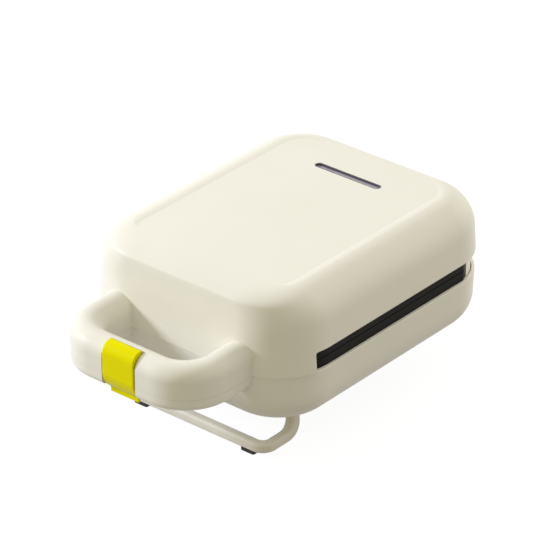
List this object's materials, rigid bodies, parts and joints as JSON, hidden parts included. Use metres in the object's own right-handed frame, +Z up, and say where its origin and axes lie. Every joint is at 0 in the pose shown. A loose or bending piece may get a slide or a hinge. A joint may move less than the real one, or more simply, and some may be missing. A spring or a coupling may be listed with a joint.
{
  "type": "donut maker",
  "caption": "Compact countertop donut maker: rounded clamshell body with a loop handle, a swinging latch, ring-mould plates on a rear hinge and a raised front stand.",
  "frame": {"origin": "on the table plane, under the middle of the whole length from latch to cord inlet", "axes": "+Z up, +Y from the handle towards the hinge, +X to the right seen from the handle"},
  "size_m": [0.1286, 0.2014, 0.087],
  "materials": {
    "cream_plastic": "satin moulded plastic",
    "yellow_plastic": "glossy moulded plastic",
    "black_liner": "matt heat-proof moulding",
    "plate_coating": "non-stick coated casting",
    "heater_steel": "drawn tube",
    "reflector_sheet": "bright sheet",
    "ceramic": "moulded, matt",
    "fuse_metal": "drawn can",
    "steel": "plain turned",
    "black_rubber": "matt rubber",
    "wire_sleeve": "braided sleeve",
    "dark_lens": "smoked, clear gloss",
    "board_green": "laminate",
    "lamp_clear": "tinted, clear gloss"
  },
  "bodies": {
    "base": {"lower_shell": "cream_plastic", "lower_handle": "cream_plastic", "front_stand": "cream_plastic", "front_pads": "black_rubber", "rear_feet": "cream_plastic", "rear_pads": "black_rubber", "lower_liner": "black_liner", "lower_plate": "plate_coating", "lower_heater": "heater_steel", "lower_reflector": "reflector_sheet", "lower_thermostat": "ceramic", "lower_fuse": "fuse_metal", "terminal_block": "ceramic", "cord_gland": "black_rubber", "hinge_pins": "steel", "wire_conduit": "cream_plastic", "base_screws": "steel", "lower_plate_screws": "steel", "base_wires": "wire_sleeve", "lower_ring_moulds": "plate_coating", "base_hinge_blocks": "cream_plastic"},
    "lid": {"upper_shell": "cream_plastic", "upper_handle": "cream_plastic", "indicator_lens": "dark_lens", "indicator_board": "board_green", "indicator_lamps": "lamp_clear", "upper_liner": "black_liner", "upper_plate": "plate_coating", "upper_heater": "heater_steel", "upper_reflector": "reflector_sheet", "upper_thermostat": "ceramic", "upper_fuse": "fuse_metal", "lid_screws": "steel", "latch_pin": "steel", "upper_plate_screws": "steel", "lid_wires": "wire_sleeve", "upper_ring_moulds": "plate_coating", "lid_hinge_blocks": "cream_plastic"},
    "latch": {"latch": "yellow_plastic"}
  },
  "joints": [
    {"name": "lid_hinge", "type": "hinge", "parent": "base", "child": "lid", "pos_m": [0, 0.09625, 0.0533], "axis": [-1, 0, 0], "range_deg": [0, 100]},
    {"name": "latch_pivot", "type": "hinge", "parent": "lid", "child": "latch", "pos_m": [0, -0.09625, 0.0613], "axis": [-1, 0, 0], "range_deg": [0, 60]}
  ]
}
